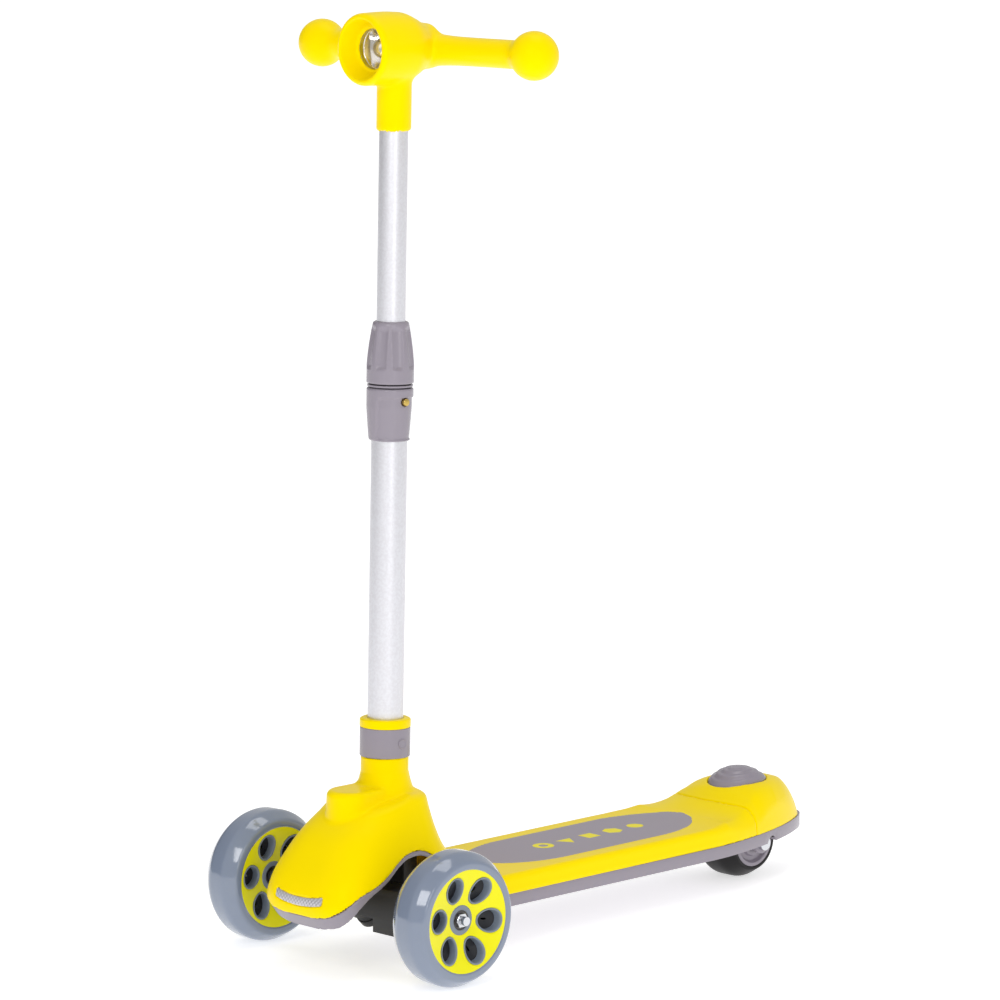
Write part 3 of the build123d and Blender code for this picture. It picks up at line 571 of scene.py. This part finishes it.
# --- rear wheel ---
def rear_wheel():
    place = Matrix.Translation(REAR_AXLE) @ ACROSS
    corners = [(REAR_BORE, -REAR_HALF + 0.6, 0.4), (REAR_R - 9, -REAR_HALF, 5.0),
               (REAR_R, -REAR_HALF + 15, 19.0),
               (REAR_R, 0, 0), (REAR_R, REAR_HALF - 15, 19.0), (REAR_R - 9, REAR_HALF, 5.0),
               (REAR_BORE, REAR_HALF - 0.6, 0.4)]
    fit(lathe("rear_tread", corners, place, 112, crease=50), BLACK_TYRE, "black_tyre", "rear_wheel",
        "rear_tyre")
    rims, races = [], []
    for s in (-1, 1):
        out = REAR_HALF - 0.4
        rims.append(lathe(f"rim{s}", [
            (REAR_BORE, s * 8, 0), (REAR_BORE, s * out, 0.5), (20.6, s * out, 0.8),
            (18.6, s * (out - 3.6), 1.5), (14.6, s * (out - 3.6), 1.2), (HUB_R, s * out, 0.8),
            (RACE_R, s * out, 0.4), (RACE_R, s * 8, 0)], place))
        races.append(ball_race(f"race{s}", s * 19, s * out, s * (out - 0.4), place))
    fit(joined("rear_rim", *rims), GREY, "hub_plastic", "rear_wheel", "rear_hub")
    fit(joined("rear_ball_races", *races), CHROME, "steel", "rear_wheel", "rear_bearings")


# --- deck ---
TOP_ALONG = (-400, 100, 125, 153, 171, 195, 213, 225, 237, 250, 262, 279, 300, 314, 322, 330)
TOP_HEIGHT = (68, 68, 68, 68.9, 71.8, 80.3, 90.3, 94.8, 96.5, 96.3, 95.2, 92.0, 84.0, 74, 66, 58)
TAIL_LONG = TAIL_TIP - TAIL_START
TAIL_SHAPE_X, TAIL_SHAPE_Y = 1.62, 1.63


def deck_side(x, y):
    """Distance outside the deck's plan: straight sides, then a round tail."""
    across = np.sqrt(x ** 2 + 9) / math.sqrt(DECK_HALF ** 2 + 9)
    along = np.maximum(y - TAIL_START, 0) / TAIL_LONG
    value = across ** TAIL_SHAPE_X + along ** TAIL_SHAPE_Y - 1
    slope = np.hypot(TAIL_SHAPE_X * across ** (TAIL_SHAPE_X - 1) / DECK_HALF,
                     TAIL_SHAPE_Y * along ** (TAIL_SHAPE_Y - 1) / TAIL_LONG)
    front = DECK_FRONT - y
    return np.maximum(np.maximum(value / np.maximum(slope, 0.004), -70), front)


def deck_form(x, y, z):
    """The yellow top of the deck, with a hump over the rear wheel."""
    hump = np.clip((y - 140) / 80, 0, 1)
    fall = 0.0052 * np.clip((y - 165) / 50, 0, 1)
    height = eased(y, TOP_ALONG, TOP_HEIGHT) - fall * x ** 2
    slope = (eased(y + 1, TOP_ALONG, TOP_HEIGHT) - eased(y - 1, TOP_ALONG, TOP_HEIGHT)) / 2
    top = (z - height) / np.sqrt(1 + slope ** 2 + (2 * fall * x) ** 2)
    draft = 0.06 * (z - SEAM_Z)
    rounder = 4.5 + 9.5 * hump + 12 * np.clip((y - 250) / 45, 0, 1)
    return soft_meet(deck_side(x, y) + draft, top, rounder)


def tail_seam(x):
    return 194 + 19 * (x / 62) ** 2


def hollow(form):
    """The shell of a form: its outside less its inside."""
    return np.maximum(form, -(form + DECK_WALL))


def deck_top_form(x, y, z):
    form = hollow(deck_form(x, y, z))
    form = np.maximum(form, SEAM_Z + 0.15 - z)
    return soft_meet(form, y - tail_seam(x) + 0.25, 0.5)


def pedal_side(x, y, grow=0.0):
    """Distance outside the foot brake's oval."""
    reach = np.hypot(x / (PEDAL_X + grow), (y - PEDAL_Y) / (PEDAL_LONG + grow))
    return (reach - 1) * (PEDAL_X + grow)


def tail_form(x, y, z):
    form = hollow(deck_form(x, y, z))
    form = np.maximum(form, SEAM_Z + 0.15 - z)
    form = soft_meet(form, tail_seam(x) + 0.25 - y, 0.5)
    return soft_meet(form, -pedal_side(x, y), 1.2)


def pedal_form(x, y, z):
    """The domed foot brake, with rings like ripples round its middle."""
    reach = np.hypot(x / PEDAL_X, (y - PEDAL_Y) / PEDAL_LONG)
    fade = np.clip((reach - 0.15) * 6, 0, 1) * np.clip((0.95 - reach) * 8, 0, 1)
    rings = 0.45 * np.cos(reach * 2 * math.pi * 4.5) * fade
    dome = np.sqrt(x ** 2 + (y - PEDAL_Y - 2) ** 2 + (z - PEDAL_TOP + DOME_R + 0.5) ** 2) - DOME_R - rings
    form = soft_meet(dome, pedal_side(x, y, -0.5), 1.2)
    return np.maximum(form, 80.5 - z)


def pad_side(x, y):
    """Distance outside the pad's plan: straight sides and oval ends."""
    along = np.maximum(np.abs(y - PAD_MIDDLE) - PAD_STRAIGHT, 0)
    return (np.hypot(x / PAD_HALF, along / PAD_END) - 1) * PAD_HALF


def pad_form(x, y, z):
    """The thin pad, which follows the deck up the front of the hump."""
    over = deck_form(x, y, z)
    form = soft_meet(over - 0.35, pad_side(x, y), 0.5)
    return np.maximum(form, -(over + 1.2))


def deck():
    pad = skin("foot_pad", pad_form, (-47, -108, 66), (47, 189, 80), 1.2)
    fit(pad, PAD, "pad_rubber", "deck", "deck_pad")
    top = skin("deck_top", deck_top_form, (-67, DECK_FRONT - 2, 50), (67, 216, 94), 1.6)
    fit(top, YELLOW, "yellow_plastic", "deck", "deck_top_shell")
    tail = skin("tail_hump", tail_form, (-67, 188, 50), (67, 325, 98), 1.3)
    fit(tail, YELLOW, "yellow_plastic", "deck", "tail_cover")
    pedal = skin("foot_brake", pedal_form, (-31, 206, 79), (31, 275, 108), 0.7)
    fit(pedal, GREY, "grey_plastic", "brake", "brake_pedal")
    softened("deck_base", GREY, "grey_plastic", "deck", 0.9)


# --- nose ---
NOSE_LEVELS = (44, 50, 62, 80, 102, 122, 136, 150, 166)
NOSE_HALF = (63.5, 64.5, 66, 65, 60, 52, 46, 40, 35)
NOSE_AHEAD = (97, 100, 103.2, 99, 86, 71, 55, 41, 30)
NOSE_BEHIND = (86, 84, 80, 66, 43, 33.5, 31, 30, 29)
NOSE_SQUARE_AHEAD = (4, 4, 4, 3.8, 3.4, 3.0, 2.6, 2.4, 2.2)
NOSE_SQUARE_BEHIND = (3, 3, 3, 2.6, 2.3, 2.3, 2.3, 2.3, 2.2)
PLATEAU, PLATEAU_FALL = 151.0, 0.22
RIM_ALONG = (-340, -322, -319, -310, -275, -241, -226, -200, -178, -60)
RIM_HEIGHT = (50, 51, 56, 66, 86, 105.5, 106, 90, 69, 68)
TRIM_ALONG = (-340, -316, -306, -292, -265, -240)
TRIM_DEPTH = (21.0, 21.0, 16.0, 8.0, 5.0, 4.5)


def column_y(z):
    return COLUMN_Y + z * math.tan(math.radians(COLUMN_RAKE))


def nose_body(x, y, z):
    along = y - column_y(z)
    ahead = along < 0
    half = eased(z, NOSE_LEVELS, NOSE_HALF)
    reach = np.where(ahead, eased(z, NOSE_LEVELS, NOSE_AHEAD), eased(z, NOSE_LEVELS, NOSE_BEHIND))
    power = np.where(ahead, eased(z, NOSE_LEVELS, NOSE_SQUARE_AHEAD),
                     eased(z, NOSE_LEVELS, NOSE_SQUARE_BEHIND))
    across = np.maximum(np.abs(x) / half, 1e-4)
    forth = np.maximum(np.abs(along) / reach, 1e-4)
    size = (across ** power + forth ** power) ** (1 / power)
    plateau = (z - PLATEAU - PLATEAU_FALL * np.minimum(along, 0)) * 0.97
    return soft_meet((size - 1) * np.minimum(half, reach) * 0.8, plateau, 5.0)


def nose_knob(x, y, z):
    """The rounded boss that stands out ahead of the neck."""
    middle = column_y(140)
    along = np.clip(y - middle, -40, 0)
    reach = np.hypot(x, y - middle - along) - 22 + 0.05 * (z - 140)
    return soft_meet(reach, z - 157.0, 5.0)


def neck(x, y, z, radius):
    return np.hypot(x, (y - column_y(z))) - radius


def nose_skin(x, y, z):
    form = soft_join(nose_body(x, y, z), nose_knob(x, y, z), 3.0)
    flare = soft_meet(neck(x, y, z, 25.4 - 0.3 * (z - 153)), z - 167, 1.0)
    form = soft_join(form, flare, 4.0)
    return soft_join(form, np.maximum(neck(x, y, z, NECK_R), z - RING_BOTTOM), 2.0)


def rim_height(y):
    return eased(y, RIM_ALONG, RIM_HEIGHT)


def below_rim(y, z):
    slope = (rim_height(y + 1) - rim_height(y - 1)) / 2
    return (rim_height(y) - z) / np.sqrt(1 + slope ** 2)


def reflector_side(x, y, z):
    """Distance outside the strip let into the front, bent up a little at its ends."""
    height = z - 67 - 3.5 * (x / 30) ** 2
    return soft_meet(np.abs(x) - 30, np.abs(height) - 4, 2.0)


def nose_form(x, y, z):
    outside = nose_skin(x, y, z)
    form = np.maximum(outside, -(outside + WALL + 0.4))
    form = soft_meet(form, below_rim(y, z), 0.8)
    pocket = np.maximum(reflector_side(x, y, z), -(outside + 1.0))
    pocket = np.maximum(pocket, y + 290)
    form = np.maximum(np.maximum(form, z - RING_BOTTOM), -neck(x, y, z, LOWER_TUBE_R + 0.4))
    return soft_meet(form, -pocket, 0.4)


def trim_form(x, y, z):
    """The grey lip under the yellow rim, deep in front and narrow over the wheels."""
    body = nose_body(x, y, z)
    outer_y = y + np.minimum(body, 0) * np.clip((-298 - y) / 10, 0, 1)
    deep = eased(outer_y, TRIM_ALONG, TRIM_DEPTH)
    below = rim_height(outer_y) - z
    outside = body + 0.6 + 0.1 * np.maximum(below, 0)
    form = np.maximum(outside, -(outside + WALL))
    form = soft_meet(form, below - deep, 1.2)
    return np.maximum(np.maximum(form, 0.1 - below), y + 200)


def reflector_form(x, y, z):
    outside = nose_skin(x, y, z)
    relief = 0.25 * np.abs(((x + z) / 4) % 1 - 0.5) + 0.25 * np.abs(((x - z) / 4) % 1 - 0.5)
    form = np.maximum(outside + 0.15 + relief, -(outside + 1.1))
    return np.maximum(np.maximum(form, reflector_side(x, y, z) + 0.3), y + 290)


def nose():
    cover = skin("nose_shell", nose_form, (-69, -325, 48), (69, -130, 184), 1.5)
    fit(cover, YELLOW, "yellow_plastic", "deck", "nose_cover")
    trim = skin("nose_lip", trim_form, (-69, -325, 32), (69, -190, 110), 1.5)
    fit(trim, GREY, "grey_plastic", "deck", "nose_trim")
    strip = skin("nose_reflector", reflector_form, (-32, -324, 60), (32, -300, 78), 0.5)
    fit(strip, SILVER, "silver_reflector", "deck", "front_reflector")


# --- neck and column ---
def column():
    ring = lathe("neck_band", [(NECK_R + 0.1, RING_BOTTOM, 0), (22.5, RING_BOTTOM, 1.6),
                               (22.5, RING_TOP, 0.8),
                               (20.4, RING_TOP, 0)], LEAN)
    fit(ring, GREY, "grey_plastic", "deck", "neck_ring")
    cap = lathe("neck_collar", [(LOWER_TUBE_R + 0.1, RING_TOP, 0), (22.7, RING_TOP, 0.8),
                                (22.7, CAP_TOP - 1, 2.6),
                                (20.5, CAP_TOP, 1.5), (LOWER_TUBE_R + 0.1, CAP_TOP, 0.4)], LEAN)
    fit(cap, YELLOW, "yellow_plastic", "deck", "neck_cap")
    sideways = LEAN @ Matrix.Translation((0, 0, RELEASE_Z)) @ ACROSS
    button = lathe("release_push", [(0.01, 20.8, 0), (4.5, 20.8, 0), (4.5, 23.1, 0.6), (3.6, 23.2, 0.3),
                                    (3.2, 22.8, 0.4),
                                    (0.01, 22.8, 0)], sideways, 40)
    fit(button, GREY, "grey_plastic", "release_button", "release_button")
    lower = lathe("lower_column_tube", [
        (LOWER_BORE, LOWER_BOTTOM, 0.3), (LOWER_TUBE_R, LOWER_BOTTOM, 0.3), (LOWER_TUBE_R, LOWER_TOP, 0.3),
        (LOWER_BORE, LOWER_TOP, 0.3)], LEAN)
    fit(lower, ALUMINIUM, "tube_aluminium", "column", "lower_tube")
    upper = lathe("upper_column_tube", [
        (UPPER_BORE, UPPER_BOTTOM, 0.3), (UPPER_TUBE_R, UPPER_BOTTOM, 0.3), (UPPER_TUBE_R, UPPER_TOP, 0.3),
        (UPPER_BORE, UPPER_TOP, 0.3)], LEAN)
    fit(upper, ALUMINIUM, "tube_aluminium", "handlebar", "upper_tube")
    pin_place = LEAN @ Matrix.Translation((0, 0, CATCH_Z)) @ ACROSS
    pin = lathe("brass_catch", [(0.01, 17.5, 0), (3.3, 17.5, 0), (3.3, 22.4, 1.3), (0.01, 22.5, 0)],
                pin_place, 40)
    fit(pin, BRASS, "brass", "snap_button", "snap_button")


def collar_form(x, y, z):
    """The grey collar, with a shallow panel let into its rider's-left side."""
    along = z - COLLAR_BOTTOM
    radius = 18.2 + 2.5 * np.clip(along / 30, 0, 1) ** 0.8
    reach = np.hypot(x, y)
    turn = np.arctan2(y, x)
    panel = soft_meet(np.abs(turn) * radius - 27.4, np.abs(along - 20.0) - 18.5, 4.0)
    sunk = 1.3 * np.clip(0.5 - panel / 1.4, 0, 1)
    form = soft_meet(reach - radius + sunk, np.abs(along - 23.25) - 23.25, 1.6)
    form = np.maximum(form, LOWER_TUBE_R - reach)
    seat = np.hypot(y, z - CATCH_Z) - 3.9
    return np.maximum(form, -np.maximum(seat, -x))


def nut_form(x, y, z):
    """The tapering nut with eight long flutes."""
    along = np.clip((z - NUT_SHOULDER) / (NUT_TOP - NUT_SHOULDER), 0, 1)
    radius = 20.9 - 5.3 * along ** 1.5
    reach, turn = np.hypot(x, y), np.arctan2(y, x)
    fold = np.abs((turn / (math.pi / 4)) % 1 - 0.5) * math.pi / 4 * radius
    flute = np.clip(1 - (fold / 5.2) ** 2, 0, 1) ** 0.75
    fade = np.clip((z - NUT_SHOULDER + 1.5) / 3, 0, 1) * np.clip((NUT_TOP - 4 - z) / 4, 0, 1)
    form = (reach - radius + 2.2 * flute * fade) * 0.8
    form = soft_meet(form, z - NUT_TOP, 2.0)
    form = soft_meet(form, NUT_BOTTOM - z, 1.2)
    return np.maximum(form, UPPER_TUBE_R + 0.1 - reach)


def leaned(obj):
    """Moves a piece made about the world's Z axis on to the column's."""
    obj.data.transform(Matrix.Scale(MM, 4) @ LEAN @ Matrix.Scale(1 / MM, 4))
    return obj


def height_lock():
    collar = leaned(skin("tube_collar", collar_form, (-23, -23, 461), (23, 23, 511), 0.9))
    fit(collar, GREY, "grey_plastic", "column", "collar_body")
    ring = lathe("collar_ring_band", [(16, 510.6, 0), (20.2, 510.6, 0.3), (20.2, 512.3, 0.3),
                                      (16, 512.3, 0)], LEAN)
    fit(ring, GREY, "grey_plastic", "column", "collar_ring")
    # A dark sleeve behind the ring band, between collar and nut: painted shade, not a part of the scooter.
    gap_shade_sleeve = lathe("collar_gap_painted_shade", [(16, 509.2, 0), (18.4, 509.2, 0), (18.4, 514.6, 0), (16, 514.6, 0)], LEAN)
    fit(gap_shade_sleeve, PAINTED_GAP_SHADE, "grey_plastic", "column")
    nut = leaned(skin("fluted_nut", nut_form, (-24, -24, 511), (24, 24, 570), 0.9))
    fit(nut, GREY, "grey_plastic", "twist_nut", "twist_nut")


# --- T-bar head ---
BARREL_ALONG = (-239, -202, -191, -181, -171, -158)
BARREL_REACH = (31.5, 31.5, 30.3, 26.4, 21.8, 19.4)
ARM_ALONG = (0, 22, 36, 52, 72, 115)
ARM_REACH = (15, 13.6, 12.9, 12.6, 12.5, 12.5)


def head_form(x, y, z):
    """Barrel, arms, ball ends and sleeve, run into each other with broad fillets."""
    barrel = np.hypot(x, z - BARREL_Z) - eased(y, BARREL_ALONG, BARREL_REACH)
    barrel = soft_meet(barrel, BARREL_FRONT - y, 5.5)
    barrel = soft_meet(barrel, y - BARREL_BACK, 2.0)
    side = np.abs(x)
    arms = np.maximum(np.hypot(y - BAR_Y, z - BAR_Z) - eased(side, ARM_ALONG, ARM_REACH), side - BALL_X)
    ball = np.sqrt((side - BALL_X) ** 2 + (y - BAR_Y) ** 2 + (z - BAR_Z) ** 2) - BALL_R
    sleeve = np.hypot(x, y - column_y(z)) - SLEEVE_R
    sleeve = soft_meet(sleeve, np.maximum(SLEEVE_BOTTOM - z, z - 800), 2.8)
    stem = soft_join(soft_join(arms, ball, 6.0), sleeve, 20.0)
    return soft_join(stem, barrel, 5.0)


def head_shell(x, y, z):
    form = head_form(x, y, z)
    reach = np.hypot(x, z - BARREL_Z)
    depth = y - BARREL_FRONT
    mouth = np.maximum(reach - 27 + 7 * np.clip(depth / MOUTH_DEEP, 0, 1), depth - MOUTH_DEEP)
    well = np.maximum(reach - WELL_R, depth - WELL_DEEP)
    form = soft_meet(form, -mouth, 1.6)
    form = np.maximum(form, -well)
    bore = np.maximum(np.hypot(x, y - column_y(z)) - UPPER_TUBE_R, z - 776)
    back = np.maximum(np.hypot(x, z - BARREL_Z + 1) - BACK_SEAT_R, BAR_Y - 6 - y)
    return np.maximum(np.maximum(form, -bore), -back)


def head():
    shell = skin("handlebar_shell", head_shell, (-158, -242, 731), (158, -134, 840), 1.6)
    fit(shell, YELLOW, "yellow_plastic", "handlebar", "bar_front_shell", "bar_back_shell")
    facing = Matrix.Translation((0, BARREL_FRONT, BARREL_Z)) @ FORWARD
    bowl = lathe("lamp_bowl", [(3.4, -38, 0), (6, -37.6, 1), (11, -33.5, 0), (14.5, -28, 0),
                               (16.4, -22.0, 0),
                               (17.5, -21.0, 0.3), (17.5, -39, 0), (3.4, -39, 0)], facing, 72)
    fit(bowl, MIRROR, "lamp_chrome", "handlebar", "lamp_reflector")
    lens = lathe("lamp_window", [(0.01, -15.2, 0), (10, -15.4, 8), (17.5, -16, 0.2), (17.5, -17, 0),
                                 (0.01, -16.8, 0)], facing, 72)
    fit(lens, CLEAR, "clear_lens", "handlebar", "lamp_lens")
    bulb = lathe("lamp_bulb", [(0.01, -26.5, 0), (2.9, -26.5, 2.8), (2.9, -38, 0), (0.01, -38, 0)],
                 facing, 32)
    fit(bulb, LED, "led_white", "handlebar", "lamp_led")
    backward = Matrix.Translation((0, 0, BARREL_Z - 1)) @ Matrix.Rotation(math.radians(-90), 4, "X")
    cap = lathe("battery_cap", [(7.5, -157.5, 0), (7.5, -155, 0.5), (12, -154.6, 3), (15.8, -155.5, 2.5),
                                (17.3, -158.0, 1.2), (17.3, -163, 0), (15.8, -163, 0), (15.8, -158, 0)],
                                backward, 72)
    fit(cap, YELLOW, "yellow_plastic", "handlebar", "rear_cap")
    knob = lathe("switch_push", [(0.01, -152.8, 0), (7, -153, 1.2), (7, -160, 0), (9, -160, 0.2),
                                 (9, -162.4, 0.2),
                                 (0.01, -162.4, 0)], backward, 48)
    fit(knob, GREY, "grey_plastic", "light_switch", "light_switch")


# --- the pieces kept from the model ---
KEPT = {
    "pad_marks": PAD_YELLOW, "deck_screws": DULL_STEEL, "block_bolts": DULL_STEEL,
    "kingpin": DULL_STEEL, "kingpin_nut": DULL_STEEL, "steering_bushes": BUSH, "rear_spacers": DULL_STEEL,
    "brake_springs": DULL_STEEL, "kingpin_sleeve": NYLON, "stub_axles": CHROME, "inner_spacers": DULL_STEEL,
    "brake_shoe": BUSH, "tube_bush": NYLON, "bar_screws": DULL_STEEL, "lamp_board": BOARD,
    "lamp_cells": DULL_STEEL, "rear_bolt": CHROME, "rear_nut": CHROME,
}


def kept_pieces():
    for name, finish_ in KEPT.items():
        nodes[name].data.materials.clear()
        nodes[name].data.materials.append(finish_)
    softened("steering_block", BLACK, "black_plastic", "deck", 1.0)
    softened("axle_beam", BLACK, "black_plastic", "truck", 1.2)


# --- studio ---
EYE = Vector((3.2376, -3.2225, 1.0881))
LOOK_BACK = Vector((0.70836, -0.68934, 0.15176))
LOOK_UP = Vector((-0.1063, 0.1084, 0.9884))
LENS, SENSOR = 183.06, 36.0


def camera():
    eye = bpy.data.objects.new("camera", bpy.data.cameras.new("camera"))
    bpy.context.scene.collection.objects.link(eye)
    back = LOOK_BACK.normalized()
    right = LOOK_UP.cross(back).normalized()
    up = back.cross(right)
    eye.matrix_world = Matrix.Translation(EYE) @ Matrix((right, up, back)).transposed().to_4x4()
    eye.data.lens = LENS
    eye.data.sensor_width = SENSOR
    eye.data.clip_end = 50
    bpy.context.scene.camera = eye


def light(name, place, target, size, power):
    lamp = bpy.data.lights.new(name, "AREA")
    lamp.energy = power
    lamp.shape = "RECTANGLE"
    lamp.size, lamp.size_y = size
    obj = bpy.data.objects.new(name, lamp)
    bpy.context.scene.collection.objects.link(obj)
    obj.location = place
    obj.rotation_euler = (Vector(target) - Vector(place)).to_track_quat("-Z", "Y").to_euler()


def studio():
    world = bpy.data.worlds.new("studio")
    bpy.context.scene.world = world
    world.use_nodes = True
    tree = world.node_tree
    tree.nodes["Background"].inputs["Color"].default_value = (1, 1, 1, 1)
    heading = tree.nodes.new("ShaderNodeTexCoord")
    towards = tree.nodes.new("ShaderNodeVectorMath")
    towards.operation = "DOT_PRODUCT"
    towards.inputs[1].default_value = (-0.95, -0.3, 0.0)
    dimmer = tree.nodes.new("ShaderNodeMapRange")
    dimmer.interpolation_type = "SMOOTHSTEP"
    for socket, value in zip(dimmer.inputs[1:5], (0.56, 0.9, 0.62, 0.12)):
        socket.default_value = value
    tree.links.new(heading.outputs["Generated"], towards.inputs[0])
    tree.links.new(towards.outputs["Value"], dimmer.inputs["Value"])
    tree.links.new(dimmer.outputs["Result"], tree.nodes["Background"].inputs["Strength"])
    floor = solid("floor", [(x, y, -0.5) for x, y in ((-6e4, -6e4), (6e4, -6e4), (6e4, 6e4), (-6e4, 6e4))],
                  [(0, 1, 2, 3)])
    floor.data.materials.append(finish("pale floor", (0.8, 0.8, 0.8, 1), 0.9, Emission_Color=(1, 1, 1, 1),
                                       Emission_Strength=0.62))
    light("key", (1.25, -2.5, 1.9), (0, -0.1, 0.4), (0.8, 1.2), 16)
    light("fill", (2.5, -1.3, 1.2), (0, 0, 0.4), (0.4, 1.6), 9)
    light("top", (0.2, 0.2, 4.0), (0, 0, 0.2), (1.8, 1.8), 24)
    bpy.context.scene.view_settings.view_transform = "Standard"


camera()
studio()
front_wheel(1, "left")
front_wheel(-1, "right")
axle_nuts()
rear_wheel()
deck()
nose()
column()
height_lock()
head()
kept_pieces()
